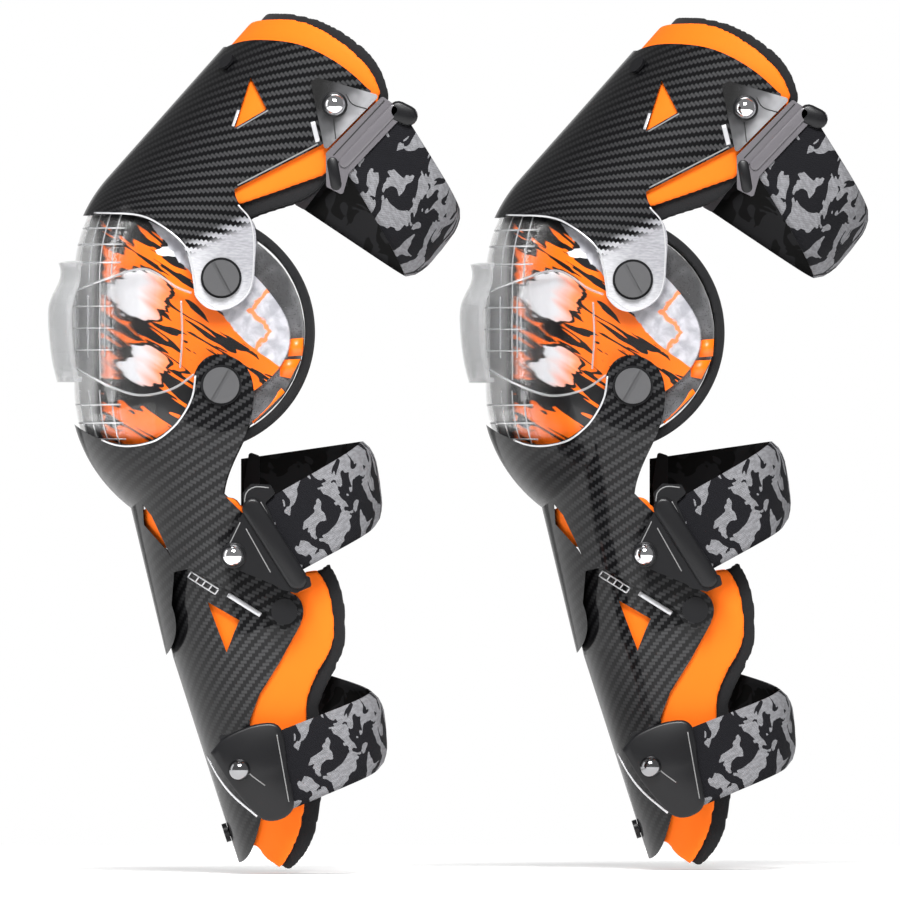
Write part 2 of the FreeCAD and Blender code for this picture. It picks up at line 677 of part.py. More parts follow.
def make_shin_clip():
    level = dim("shin_clip_level")
    wall = dim("bar_wall")
    near = [(0.4, -124.6), (4.6, -113), (12.4, -98), (11.6, -88.6), (16.4, -83.4), (27, -84), (29.6, -88.6),
            (24, -94), (41.6, -132), (48.4, -134.4), (49.6, -139.6), (41, -143.4), (33, -141.4),
            (28.4, -138.6), (10, -131)]
    far = [(0, -124), (4, -113), (12.4, -99), (11.5, -84), (14.5, -66), (20.4, -68), (20.4, -112),
           (15, -128), (6, -131)]
    clips = [bored(plate("shin_clip_near", near, "bar_wall", -level), SHIN_RIVET),
             bored(plate("shin_clip_far", far, "bar_wall", level + wall), SHIN_RIVET)]
    grouped("shin_clip", clips)
    band((26.6, -91), (43, -131.4), (20.9, -68.2), (20.9, -113.6), (82.4, -59.4), (89, -106.2),
         level + STRAP_SEAT, "shin_strap")
    make_rivets("shin_clip_rivets", SHIN_RIVET, level + wall - dim("clip_wall"), dim("shin_rivet_seat"))


def make_ankle_clip():
    level = dim("ankle_clip_level")
    wall = dim("bar_wall")
    near = [(-1.7, -221.2), (30.6, -219.6), (39, -261.2), (22, -266.8), (8, -252)]
    far = [(2, -243), (4, -222), (13, -180), (20, -176), (24, -220), (19, -246), (10, -251)]
    clips = [bored(plate("ankle_clip_near", near, "bar_wall", -level), ANKLE_RIVET),
             bored(plate("ankle_clip_far", far, "bar_wall", level + wall), ANKLE_RIVET)]
    grouped("ankle_clip", clips)
    band((31.6, -219), (40, -261.4), (21.6, -178), (26.4, -222), (87.4, -197.6), (91, -240),
         level + STRAP_SEAT, "ankle_strap")
    make_rivets("ankle_clip_rivets", ANKLE_RIVET, level + wall - dim("clip_wall"), dim("ankle_rivet_seat"))


def bored(body, place):
    """The plate with the rivet's hole through it."""
    drill = doc.addObject("Part::Cylinder", body.Name + "_drill")
    drill.setExpression("Radius", "dims.rivet_radius + dims.running_clearance")
    drill.Height = 2 * SPAN
    drill.Placement = FreeCAD.Placement(side_point(place, SPAN), FreeCAD.Rotation(Vector(1, 0, 0), 90))
    item = doc.addObject("Part::Cut", body.Name + "_bored")
    item.Base = body
    item.Tool = drill
    return item


# ---------------------------------------------------------------- the pair

def make_twin(item):
    """The right guard's copy of one of the left guard's nodes."""
    name = item.Label.replace("left_", "right_")
    twin = doc.addObject("Part::Compound", name)
    twin.Label = name
    twin.Links = [item]
    twin.setExpression("Placement.Base.x", "dims.pair_step_back")
    twin.setExpression("Placement.Base.y", "dims.pair_step_across")
    return twin


make_knee()
make_pivots()
make_thigh()
make_thigh_clip()
make_shin()
make_shin_clip()
make_ankle()
make_ankle_clip()
nodes += [make_twin(item) for item in list(nodes)]
doc.recompute()

for item in doc.Objects:
    if "Invalid" in item.State or "Error" in item.State:
        raise RuntimeError("failed: %s %s" % (item.Name, item.State))
for item in nodes:
    if item.Shape.isNull() or not item.Shape.isValid():
        raise RuntimeError("bad shape: " + item.Label)
    print(item.Label, "solids", len(item.Shape.Solids), "volume", round(item.Shape.Volume / 1000, 2))

os.makedirs("parts", exist_ok=True)
for item in nodes:
    item.Shape.exportStep("parts/%s.step" % item.Label)
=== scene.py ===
import math

import bpy
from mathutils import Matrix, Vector
from mathutils.bvhtree import BVHTree


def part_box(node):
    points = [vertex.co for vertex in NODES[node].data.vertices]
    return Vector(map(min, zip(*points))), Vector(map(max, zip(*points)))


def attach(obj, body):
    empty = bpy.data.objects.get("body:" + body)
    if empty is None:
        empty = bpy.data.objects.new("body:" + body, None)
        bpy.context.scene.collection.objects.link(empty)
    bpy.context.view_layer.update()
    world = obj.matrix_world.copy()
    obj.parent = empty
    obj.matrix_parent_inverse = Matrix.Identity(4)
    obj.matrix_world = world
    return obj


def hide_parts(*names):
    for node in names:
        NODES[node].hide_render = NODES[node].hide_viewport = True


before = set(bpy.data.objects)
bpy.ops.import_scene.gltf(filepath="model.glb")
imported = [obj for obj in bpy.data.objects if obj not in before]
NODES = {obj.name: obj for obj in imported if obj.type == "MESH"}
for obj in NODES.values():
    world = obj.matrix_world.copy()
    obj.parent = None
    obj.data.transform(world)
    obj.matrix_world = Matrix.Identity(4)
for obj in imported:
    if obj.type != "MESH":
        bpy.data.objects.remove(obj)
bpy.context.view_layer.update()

# Looks of a pair of hinged knee guards.  Lengths in this script are millimetres in the left guard's
# frame: X to the rear, Y across the leg (the near side is -Y), Z up, zero in the middle of the cup.
# Places with two numbers are X and Z in the side view.
MM = 0.001
SIDES = {"left": Vector((0, 0, 0)),
         "right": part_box("right_knee_shell")[0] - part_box("left_knee_shell")[0]}
UPPER_PIVOT = Vector((0, 29.4))
LOWER_PIVOT = Vector((0, -29.4))
THIGH_RIVET = Vector((62.2, 124.3))
SHIN_RIVET = Vector((6.6, -122.7))
ANKLE_RIVET = Vector((9.9, -240.4))

BLACK = (0.006, 0.006, 0.007, 1)
SOFT_BLACK = (0.013, 0.013, 0.014, 1)
ORANGE = (1.0, 0.165, 0.004, 1)
PALE_ORANGE = (1.0, 0.25, 0.09, 1)
WHITE = (0.80, 0.80, 0.83, 1)
# The weave's own black, and the painted sheen that stands for the reflection off its top tows.
WEAVE_DARK = (0.0025, 0.0025, 0.003, 1)
WEAVE_SHEEN = (0.050, 0.050, 0.052, 1)


# ---------------------------------------------------------------- materials

class Finish:
    """One material, with short ways of adding nodes to it.

    Its place is in millimetres in a guard's frame.
    """

    def __init__(self, name, origin=Vector((0, 0, 0)), **settings):
        self.material = bpy.data.materials.new(name)
        self.material.use_nodes = True
        self.nodes = self.material.node_tree.nodes
        self.links = self.material.node_tree.links
        self.shader = self.nodes["Principled BSDF"]
        for label, value in settings.items():
            self.shader.inputs[label.replace("_", " ")].default_value = value
        self.origin = origin

    def feed(self, socket, value):
        if isinstance(value, bpy.types.NodeSocket):
            self.links.new(value, socket)
        else:
            socket.default_value = value

    def show(self, label, value):
        self.feed(self.shader.inputs[label], value)

    def place(self):
        """Object coordinates as a vector and as its three numbers."""
        where = self.nodes.new("ShaderNodeTexCoord").outputs["Object"]
        vector = self.vector("SCALE", self.vector("SUBTRACT", where, self.origin), scale=1 / MM)
        split = self.nodes.new("ShaderNodeSeparateXYZ")
        self.links.new(vector, split.inputs[0])
        return vector, split.outputs[0], split.outputs[1], split.outputs[2]

    def math(self, operation, *values):
        node = self.nodes.new("ShaderNodeMath")
        node.operation = operation
        for socket, value in zip(node.inputs, values):
            self.feed(socket, value)
        return node.outputs[0]

    def vector(self, operation, *values, scale=None):
        node = self.nodes.new("ShaderNodeVectorMath")
        node.operation = operation
        for socket, value in zip(node.inputs, values):
            self.feed(socket, value)
        if scale is not None:
            node.inputs["Scale"].default_value = scale
        return node.outputs[0]

    def join(self, *numbers):
        node = self.nodes.new("ShaderNodeCombineXYZ")
        for socket, number in zip(node.inputs, numbers):
            self.feed(socket, number)
        return node.outputs[0]

    def stretched(self, *pairs):
        """Vector of numbers, each times its own scale."""
        return self.join(*[self.math("MULTIPLY", number, scale) for number, scale in pairs])

    def blend_sum(self, first, first_share, second, second_share):
        """first times its share plus second times its share."""
        return self.math("MULTIPLY_ADD", first, first_share, self.math("MULTIPLY", second, second_share))

    def ease(self, value, start, end, low=0.0, high=1.0):
        """Smooth change from low to high while value goes from start to end."""
        node = self.nodes.new("ShaderNodeMapRange")
        node.interpolation_type = "SMOOTHSTEP"
        self.feed(node.inputs["Value"], value)
        for label, number in (("From Min", start), ("From Max", end), ("To Min", low), ("To Max", high)):
            node.inputs[label].default_value = number
        return node.outputs[0]

    def noise(self, vector, scale, detail=2.0, distortion=0.0):
        node = self.nodes.new("ShaderNodeTexNoise")
        self.feed(node.inputs["Vector"], vector)
        node.inputs["Scale"].default_value = scale
        node.inputs["Detail"].default_value = detail
        node.inputs["Distortion"].default_value = distortion
        return node.outputs[0]

    def cells(self, vector, scale):
        """Distance to the nearest of a scatter of points."""
        node = self.nodes.new("ShaderNodeTexVoronoi")
        self.feed(node.inputs["Vector"], vector)
        node.inputs["Scale"].default_value = scale
        return node.outputs["Distance"]

    def mix(self, share, first, second):
        node = self.nodes.new("ShaderNodeMix")
        node.data_type = "RGBA"
        self.feed(node.inputs[0], share)
        self.feed(node.inputs[6], first)
        self.feed(node.inputs[7], second)
        return node.outputs[2]

    def bump(self, height, depth, strength=1.0):
        """Surface relief: depth in millimetres for a height of one."""
        node = self.nodes.new("ShaderNodeBump")
        node.inputs["Strength"].default_value = strength
        node.inputs["Distance"].default_value = depth * MM
        self.feed(node.inputs["Height"], height)
        self.links.new(node.outputs[0], self.shader.inputs["Normal"])


def both_guards(make):
    """The same finish for each guard, as {side: material}."""
    return {side: make(side, origin).material for side, origin in SIDES.items()}


def plain(name, colour, roughness, **settings):
    """A finish without a pattern, shared by both guards."""
    finish = Finish(name, Base_Color=colour, Roughness=roughness, **settings)
    return {side: finish.material for side in SIDES}


# The rounded shells: the pivot their section is measured from, the way their front faces, where the
# rounding starts ahead of the pivot, its reach and half width, the slope of the weave's ribs in the
# side view, low and high on the shell, and how strong the painted sheen on the top tows is.
SHELLS = {
    "thigh": {"pivot": UPPER_PIVOT, "angle": 139.6, "start": 20.0, "reach": 64.0, "half": 78.0,
              "heights": (5.0, 80.0), "slopes": (-0.20, 0.075), "shine": 1.0},
    "shin": {"pivot": LOWER_PIVOT, "angle": 193.5, "start": 14.5, "reach": 49.0, "half": 66.0,
             "heights": (-110.0, 10.0), "slopes": (0.62, 0.70), "shine": 0.7},
    "ankle": {"pivot": Vector((13.9, -165.7)), "angle": 197.8, "start": 0.0, "reach": 43.0, "half": 53.0,
              "heights": (-120.0, 20.0), "slopes": (1.15, 1.15), "shine": 0.75},
}
TOW = 1.85          # width of one tow of the woven cloth
CAP_RIB = 0.2       # height of the cap's ribs, low enough for the shells to pass over them
EAR_LINE = (0.44, -0.898)       # way across the line where the thigh shell's cloth turns bare
EAR_LINE_AT = -50.1             # where that line lies along this way


def rolled_out(finish, shell, place):
    """Place on a shell as if its rounded front were rolled out into the side view."""
    vector, x, y, z = place
    pivot = shell["pivot"]
    ahead_x = math.cos(math.radians(shell["angle"]))
    ahead_z = math.sin(math.radians(shell["angle"]))
    along_x, along_z = ahead_z, -ahead_x
    x = finish.math("SUBTRACT", x, pivot.x)
    z = finish.math("SUBTRACT", z, pivot.y)
    ahead = finish.math("SUBTRACT", finish.blend_sum(x, ahead_x, z, ahead_z), shell["start"])
    along = finish.blend_sum(x, along_x, z, along_z)
    rise = finish.math("DIVIDE", finish.math("MAXIMUM", ahead, 0.0), shell["reach"])
    width = finish.math("DIVIDE", finish.math("ABSOLUTE", y), shell["half"])
    turn = finish.math("ARCTAN2", rise, width)
    radius = (shell["reach"] + shell["half"]) / 2
    arc = finish.math("ADD", finish.math("MULTIPLY", turn, radius), finish.math("MINIMUM", ahead, 0.0))
    arc = finish.math("ADD", arc, shell["start"])
    across = finish.blend_sum(arc, ahead_x, along, along_x)
    up = finish.blend_sum(arc, ahead_z, along, along_z)
    return across, up, turn


def twill(finish, shell, place):
    """Two-by-two twill: which tow is on top, how round that tow is, and the turn round the front."""
    across, up, turn = rolled_out(finish, shell, place)
    slope = finish.ease(up, *shell["heights"], *shell["slopes"])
    ribs = finish.math("SUBTRACT", up, finish.math("MULTIPLY", across, slope))
    run = finish.math("MULTIPLY_ADD", up, slope, across)
    stretch = math.sqrt(2) * TOW * math.sqrt(1 + max(shell["slopes"]) ** 2)
    warp = finish.math("DIVIDE", finish.math("ADD", ribs, run), stretch)
    weft = finish.math("DIVIDE", finish.math("SUBTRACT", ribs, run), stretch)
    count = finish.math("ADD", finish.math("FLOOR", warp), finish.math("FLOOR", weft))
    on_top = finish.math("LESS_THAN", finish.math("FLOORED_MODULO", count, 4.0), 1.5)
    rounds = []
    for tow in (warp, weft):
        rounds.append(finish.math("SINE", finish.math("MULTIPLY", finish.math("FRACT", tow), math.pi)))
    roundness = finish.math("ADD", finish.math("MULTIPLY", on_top, rounds[0]),
                            finish.math("MULTIPLY", finish.math("SUBTRACT", 1.0, on_top), rounds[1]))
    return on_top, roundness, turn


def bare_ears(finish, place, on_top, cloth):
    """The cloth, turning to bare brushed silver below a jagged line."""
    vector, x, y, z = place
    below = finish.math("SUBTRACT", finish.blend_sum(x, EAR_LINE[0], z, EAR_LINE[1]), EAR_LINE_AT)
    grain = finish.noise(finish.vector("MULTIPLY", vector, (0.6, 0.6, 2.6)), 0.5, 4.0)
    jagged = finish.math("ADD", below, finish.math("MULTIPLY", on_top, 5.0))
    level = finish.math("ADD", finish.ease(grain, 0.2, 0.8, 0.0, 0.4),
                        finish.ease(finish.blend_sum(x, 0.7, z, 0.7), 10.0, 40.0, 0.6, 0.0))
    bare = finish.mix(level, (0.24, 0.24, 0.26, 1), (0.56, 0.56, 0.58, 1))
    return finish.mix(finish.ease(jagged, 1.0, 7.0), cloth, bare)


def carbon(side, origin, part):
    """Gloss-coated black carbon twill with a painted sheen on its top tows; the thigh shell's ears turn to
    bare silver cloth.
    """
    finish = Finish("%s_carbon_%s" % (side, part), origin, Roughness=0.5, Coat_Weight=0.4, Coat_Roughness=0.1,
                    Specular_IOR_Level=0.05)
    place = finish.place()
    on_top, roundness, turn = twill(finish, SHELLS[part], place)
    # Painted sheen: top tows lighter across their middle, and weaker round the rounded front.
    shine = finish.math("MULTIPLY", finish.math("MULTIPLY_ADD", roundness, 0.65, 0.35), on_top)
    shine = finish.math("MULTIPLY", shine, finish.ease(turn, 0.15, 1.1, SHELLS[part]["shine"], 0.2))
    cloth = finish.mix(shine, WEAVE_DARK, WEAVE_SHEEN)
    if part == "thigh":
        cloth = bare_ears(finish, place, on_top, cloth)
    finish.show("Base Color", cloth)
    finish.bump(roundness, 0.05, 0.25)
    return finish


def blob(finish, x, z, centre, radii, ragged, amount):
    """One inside a ragged oval in the side view, zero outside."""
    across = finish.math("DIVIDE", finish.math("SUBTRACT", x, centre[0]), radii[0])
    up = finish.math("DIVIDE", finish.math("SUBTRACT", z, centre[1]), radii[1])
    squared = finish.math("MULTIPLY_ADD", across, across, finish.math("MULTIPLY", up, up))
    edge = finish.math("MULTIPLY_ADD", ragged, amount, squared)
    return finish.ease(edge, 1.0 + amount / 2 + 0.04, 1.0 + amount / 2 - 0.04)


def printed_tail(finish, x, z, streaks, flecks):
    """Silvery rear end of the print, with an orange bolt and ribbon across it."""
    silver = finish.mix(finish.ease(flecks, 0.30, 0.75), (0.36, 0.36, 0.40, 1), (0.62, 0.62, 0.66, 1))
    zigzag = finish.math("MULTIPLY_ADD", finish.math("PINGPONG", z, 12.0), 0.9, x)
    bolt = finish.math("SUBTRACT", finish.math("MULTIPLY_ADD", flecks, 9.0, zigzag), 31.5)
    silver = finish.mix(finish.ease(finish.math("ABSOLUTE", bolt), 2.2, 1.2), silver, PALE_ORANGE)
    ribbon = finish.math("ABSOLUTE", finish.math("MULTIPLY_ADD", x, 0.72, finish.math("ADD", z, 1.0)))
    ribbon = finish.math("MULTIPLY_ADD", streaks, 10.0, ribbon)
    return finish.mix(finish.ease(ribbon, 10.4, 10.0), silver, ORANGE)


def printed(side, origin):
    """The printed inner shell of the knee: torn orange and black streaks with white patches."""
    finish = Finish("%s_print" % side, origin, Roughness=0.3, Coat_Weight=0.3, Coat_Roughness=0.1)
    vector, x, y, z = finish.place()
    lean = math.radians(-33)
    run = finish.blend_sum(x, math.cos(lean), z, math.sin(lean))
    rise = finish.blend_sum(x, -math.sin(lean), z, math.cos(lean))
    streaks = finish.noise(finish.stretched((run, 0.021), (y, 0.008), (rise, 0.15)), 1.0, 1.8, 1.1)
    flecks = finish.noise(vector, 0.16, 4.0, 0.5)
    ink = finish.mix(finish.ease(streaks, 0.512, 0.518), ORANGE, BLACK)
    fade = finish.math("MULTIPLY_ADD", streaks, 18.0, x)
    glow = finish.mix(finish.ease(fade, -38.0, -22.0), WHITE, PALE_ORANGE)
    colour = finish.mix(blob(finish, x, z, (-18, 46), (15, 11), streaks, 2.2), ink, BLACK)
    colour = finish.mix(blob(finish, x, z, (-26, 44), (10, 3), streaks, 1.6), colour, WHITE)
    border = 2
    for centre, radii in (((-44, 19), (14, 13)), ((-43, -20), (12, 12))):
        outer = (radii[0] + border, radii[1] + border)
        colour = finish.mix(blob(finish, x, z, centre, outer, streaks, 3.0), colour, BLACK)
        colour = finish.mix(blob(finish, x, z, centre, radii, streaks, 3.0), colour, glow)
    tail = finish.math("MULTIPLY_ADD", flecks, 6.0, finish.math("MULTIPLY_ADD", z, 0.8, x))
    colour = finish.mix(finish.ease(tail, 11.0, 11.6), colour, printed_tail(finish, x, z, streaks, flecks))
    bare = finish.ease(finish.math("MULTIPLY_ADD", streaks, 14.0, x), -58.0, -58.6)
    front = finish.mix(finish.ease(x, -66.5, -71.0), (0.02, 0.02, 0.02, 1), (0.52, 0.52, 0.52, 1))
    finish.show("Base Color", finish.mix(bare, colour, front))
    return finish


def mesh_fabric(side, origin):
    """Grey spacer mesh of the knee pad: a fine net of dark holes."""
    finish = Finish("%s_mesh_fabric" % side, origin, Roughness=0.85, Sheen_Weight=0.3)
    vector = finish.place()[0]
    holes = finish.cells(vector, 0.9)
    cloud = finish.noise(vector, 0.05, 2.0)
    net = finish.mix(finish.ease(cloud, 0.35, 0.7), (0.035, 0.035, 0.037, 1), (0.16, 0.16, 0.17, 1))
    finish.show("Base Color", finish.mix(finish.ease(holes, 0.18, 0.32), (0.01, 0.01, 0.01, 1), net))
    finish.bump(holes, 0.3, 0.5)
    return finish


def foam(side, origin):
    """Matt orange foam with a fine skin."""
    finish = Finish("%s_foam" % side, origin, Base_Color=ORANGE, Roughness=0.75, Specular_IOR_Level=0.25)
    vector = finish.place()[0]
    skin = finish.noise(vector, 1.6, 3.0)
    finish.bump(skin, 0.12, 0.35)
    return finish


def lining_cloth(side, origin):
    """Black knitted lining."""
    finish = Finish("%s_lining" % side, origin, Base_Color=SOFT_BLACK, Roughness=0.92, Sheen_Weight=0.05,
                    Specular_IOR_Level=0.2)
    vector = finish.place()[0]
    finish.bump(finish.cells(vector, 1.1), 0.25, 0.6)
    return finish


def camo_webbing():
    """Black webbing with grey torn blotches, laid out along and across the strap."""
    finish = Finish("camo_webbing", Roughness=0.85, Specular_IOR_Level=0.15)
    where = finish.nodes.new("ShaderNodeTexCoord").outputs["UV"]
    split = finish.nodes.new("ShaderNodeSeparateXYZ")
    finish.links.new(where, split.inputs[0])
    run, across = split.outputs[0], split.outputs[1]
    torn = finish.noise(finish.stretched((run, 8.5), (across, 6.0)), 1.0, 2.0, 0.9)
    threads = finish.join(finish.math("MULTIPLY", run, 30.0), finish.math("MULTIPLY", across, 60.0), 4.0)
    shade = finish.noise(threads, 1.0, 1.0)
    grey = finish.mix(finish.ease(shade, 0.35, 0.65), (0.19, 0.19, 0.20, 1), (0.25, 0.25, 0.265, 1))
    blotches = finish.mix(finish.ease(torn, 0.512, 0.520), (0.006, 0.006, 0.008, 1), grey)
    rows = finish.math("SINE", finish.math("MULTIPLY", across, 2 * math.pi * 62))
    picks = finish.math("SINE", finish.math("MULTIPLY", run, 2 * math.pi * 90))
    weave = finish.math("MULTIPLY", rows, picks)
    finish.show("Base Color", finish.mix(finish.ease(weave, -1.0, 1.0, 0.25, 0.0), blotches, SOFT_BLACK))
    finish.bump(weave, 0.25, 0.5)
    return {side: finish.material for side in SIDES}


def inner_webbing(side, origin):
    """Inner face of the webbing: black with the faint back of the blotches."""
    finish = Finish("%s_inner_webbing" % side, origin, Roughness=0.9, Specular_IOR_Level=0.1)
    vector = finish.place()[0]
    torn = finish.noise(vector, 0.055, 2.0, 1.2)
    finish.show("Base Color", finish.mix(finish.ease(torn, 0.50, 0.53), (0.005, 0.005, 0.005, 1),
                                         (0.014, 0.014, 0.015, 1)))
    return finish


def smoky_plate(side, origin):
    """Moulded clip plate, dark at its upper front corner and silvery towards the bar."""
    finish = Finish("%s_smoky_plate" % side, origin, Roughness=0.22, Coat_Weight=0.6, Coat_Roughness=0.08)
    vector, x, y, z = finish.place()
    cloud = finish.noise(vector, 0.07, 2.0, 0.4)
    slant = finish.math("SUBTRACT", x, finish.math("MULTIPLY", z, 0.55))
    slant = finish.math("MULTIPLY_ADD", cloud, 26.0, slant)
    dark = finish.mix(finish.ease(slant, -8.0, 10.0), (0.012, 0.012, 0.012, 1), (0.07, 0.07, 0.073, 1))
    finish.show("Base Color", finish.mix(finish.ease(slant, 10.0, 26.0), dark, (0.30, 0.30, 0.31, 1)))
    return finish


CLEAR = {"Transmission_Weight": 1.0, "IOR": 1.42, "Alpha": 0.3}
LOOKS = {
    "thigh_carbon": both_guards(lambda side, origin: carbon(side, origin, "thigh")),
    "shin_carbon": both_guards(lambda side, origin: carbon(side, origin, "shin")),
    "ankle_carbon": both_guards(lambda side, origin: carbon(side, origin, "ankle")),
    "print": both_guards(printed),
    "mesh_fabric": both_guards(mesh_fabric),
    "foam": both_guards(foam),
    "lining": both_guards(lining_cloth),
    "camo": camo_webbing(),
    "clear": plain("clear_plastic", (1.0, 1.0, 1.0, 1), 0.03, **CLEAR),
    # Clear lines: the raised ribs of the cap and band, and painted highlights along the band's edges and down
    # the cup.
    "clear_line": plain("clear_line", (0.55, 0.56, 0.57, 1), 0.15, Transmission_Weight=0.5, IOR=1.45,
                        Alpha=0.75),
    "clear_bumper": plain("clear_bumper", (0.84, 0.85, 0.86, 1), 0.12, Transmission_Weight=0.7, IOR=1.3,
                          Alpha=0.55),
    "smoke": both_guards(smoky_plate),
    "hinge_grey": plain("mauve_grey_bar", (0.115, 0.108, 0.118, 1), 0.33, Coat_Weight=0.4,
                        Coat_Roughness=0.15),
    # Grey painted highlights along the edges of the thigh shell and of the shin and ankle clips.
    "edge_grey": plain("painted_edge_highlight", (0.20, 0.20, 0.20, 1), 0.4),
    "dark_chrome": plain("dark_chrome", (0.30, 0.30, 0.31, 1), 0.12, Metallic=1.0),
    "chrome": plain("chrome", (0.85, 0.85, 0.87, 1), 0.06, Metallic=1.0),
    "satin": plain("satin_metal", (0.16, 0.16, 0.165, 1), 0.38, Metallic=0.75),
    "black": plain("black_plastic", (0.007, 0.007, 0.008, 1), 0.34, Specular_IOR_Level=0.3),
    "matt_black": plain("matt_black", (0.012, 0.012, 0.012, 1), 0.7),
    "dark_web": both_guards(inner_webbing),
    # Trim of the ankle's ladder and bar, and painted highlights along the shells' edges, the thigh's window
    # and corner and the ankle's arc.
    "trim": plain("white_trim", (0.66, 0.66, 0.68, 1), 0.2, Coat_Weight=0.5, Metallic=0.35),
    "orange_plastic": plain("orange_plastic", ORANGE, 0.35),
}


# ---------------------------------------------------------------- making pieces

def finish_node(name, look, bevel):
    """Gives a CAD node of each guard its material and, where wanted, small rounded edges."""
    for side in SIDES:
        node = NODES["%s_%s" % (side, name)]
        node.data.materials.clear()
        node.data.materials.append(LOOKS[look][side])
        if bevel:
            rounding = node.modifiers.new("rounded_edges", "BEVEL")
            rounding.width = bevel * MM
            rounding.segments = 2
            rounding.limit_method = "ANGLE"
            rounding.angle_limit = math.radians(40)
            rounding.harden_normals = True


def add_pair(name, vertices, faces, look, body, slot_name, stands_for=None, face_places=None, inner_faces=()):
    """The same piece on both guards, from vertices in the left guard's frame."""
    made = []
    for side, origin in SIDES.items():
        mesh = bpy.data.meshes.new("%s_%s" % (side, name))
        mesh.from_pydata([origin + Vector(vertex) * MM for vertex in vertices], [], faces)
        mesh.validate()
        mesh.materials.append(LOOKS[look][side])
        if face_places:
            layer = mesh.uv_layers.new(name="strap_place")
            for polygon in mesh.polygons:
                for loop, where in zip(polygon.loop_indices, face_places[polygon.index]):
                    layer.data[loop].uv = where
        if inner_faces:
            mesh.materials.append(LOOKS["dark_web"][side])
            for index in inner_faces:
                mesh.polygons[index].material_index = 1
        mesh.shade_smooth()
        item = bpy.data.objects.new(mesh.name, mesh)
        bpy.context.scene.collection.objects.link(item)
        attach(item, "root" if body == "root" else "%s_%s" % (side, body))
        if stands_for:
            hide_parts("%s_%s" % (side, stands_for))
        made.append(item)
    return made


def smooth_run(points, step=1.5):
    """Evenly spaced points along a smooth curve through the given ones."""
    points = [Vector(point) for point in points]
    padded = [points[0] * 2 - points[1]] + points + [points[-1] * 2 - points[-2]]
    dense = []
    for index in range(len(points) - 1):
        before, start, end, after = padded[index:index + 4]
        count = max(int((end - start).length / step), 2)
        for part in range(count):
            t = part / count
            bend = 2 * before - 5 * start + 4 * end - after
            twist = 3 * start - before - 3 * end + after
            dense.append(0.5 * (2 * start + (end - before) * t + bend * t ** 2 + twist * t ** 3))
    dense.append(points[-1])
    return dense


def straight_run(points, step=1.5):
    dense = []
    for start, end in zip(points, points[1:]):
        start, end = Vector(start), Vector(end)
        count = max(int((end - start).length / step), 1)
        dense += [start.lerp(end, part / count) for part in range(count)]
    return dense + [Vector(points[-1])]


def aside(points, distance):
    """The run moved sideways in the side view, to the left of its own direction."""
    moved = []
    for index, point in enumerate(points):
        ahead = points[min(index + 1, len(points) - 1)] - points[max(index - 1, 0)]
        moved.append(point + Vector((-ahead.y, ahead.x)).normalized() * distance)
    return moved


TREES = {}
OUTSIDE = 160       # rays start this far out, beyond every part


def surface(node):
    """Search tree of a left guard's node, in millimetres."""
    if node not in TREES:
        mesh = NODES["left_" + node].data
        corners = [vertex.co / MM for vertex in mesh.vertices]
        TREES[node] = BVHTree.FromPolygons(corners, [tuple(polygon.vertices) for polygon in mesh.polygons])
    return TREES[node]


def from_the_side(points, way):
    """Rays across the leg through places in the side view; way is -1 for the near side."""
    return [(Vector((point.x, way * OUTSIDE, point.y)), Vector((0, -way, 0))) for point in points]


def drape(node, rays):
    """Where the rays first meet a node, and the surface's outward direction there."""
    landed = []
    for start, direction in rays:
        place, normal, index, distance = surface(node).ray_cast(start, direction)
        if place is None:
            continue
        if normal.dot(direction) > 0:
            normal = -normal
        landed.append((place, normal))
    return landed


def tube_faces(rings, count):
    """Faces of a closed tube made of rings with count corners each, its two ends included."""
    faces = []
    for step in range(rings - 1):
        base = step * count
        for corner in range(count):
            after = (corner + 1) % count
            faces.append((base + corner, base + after, base + count + after, base + count + corner))
    faces.append(tuple(range(count))[::-1])
    faces.append(tuple((rings - 1) * count + corner for corner in range(count)))
    return faces


def strip(landed, width, height, sunk=0.15):
    """Vertices and faces of a raised strip with a rounded top that follows landed places."""
    shoulder = height * 0.6
    profile = [(-0.5, -sunk), (-0.5, shoulder), (-0.3, height), (0.3, height), (0.5, shoulder), (0.5, -sunk)]
    vertices = []
    for index, (place, normal) in enumerate(landed):
        ahead = landed[min(index + 1, len(landed) - 1)][0] - landed[max(index - 1, 0)][0]
        across = normal.cross(ahead)
        if across.length < 1e-6:
            across = Vector((1, 0, 0))
        across.normalize()
        vertices += [place + across * (side * width) + normal * rise for side, rise in profile]
    return vertices, tube_faces(len(landed), len(profile))


def merge(parts):
    """Several (vertices, faces) as one."""
    vertices, faces = [], []
    for part_vertices, part_faces in parts:
        base = len(vertices)
        vertices += part_vertices
        faces += [tuple(base + corner for corner in face) for face in part_faces]
    return vertices, faces


def add_strips(name, node, runs, width, height, look, body, slot_name, ways=(-1, 1)):
    """Strips along runs in the side view, on both sides of the leg."""
    parts = []
    for run in runs:
        for way in ways:
            landed = drape(node, from_the_side(run, way))
            if len(landed) > 2:
                parts.append(strip(landed, width, height))
    add_pair(name, *merge(parts), look, body, slot_name)


def flat_plate(points, inner, outer):
    """Plate in the side view between two distances across the leg."""
    count = len(points)
    vertices = [Vector((point[0], level, point[1])) for level in (inner, outer) for point in points]
    faces = [tuple(range(count)), tuple(range(2 * count - 1, count - 1, -1))]
    for corner in range(count):
        after = (corner + 1) % count
        faces.append((corner, count + corner, count + after, after))
    return vertices, faces


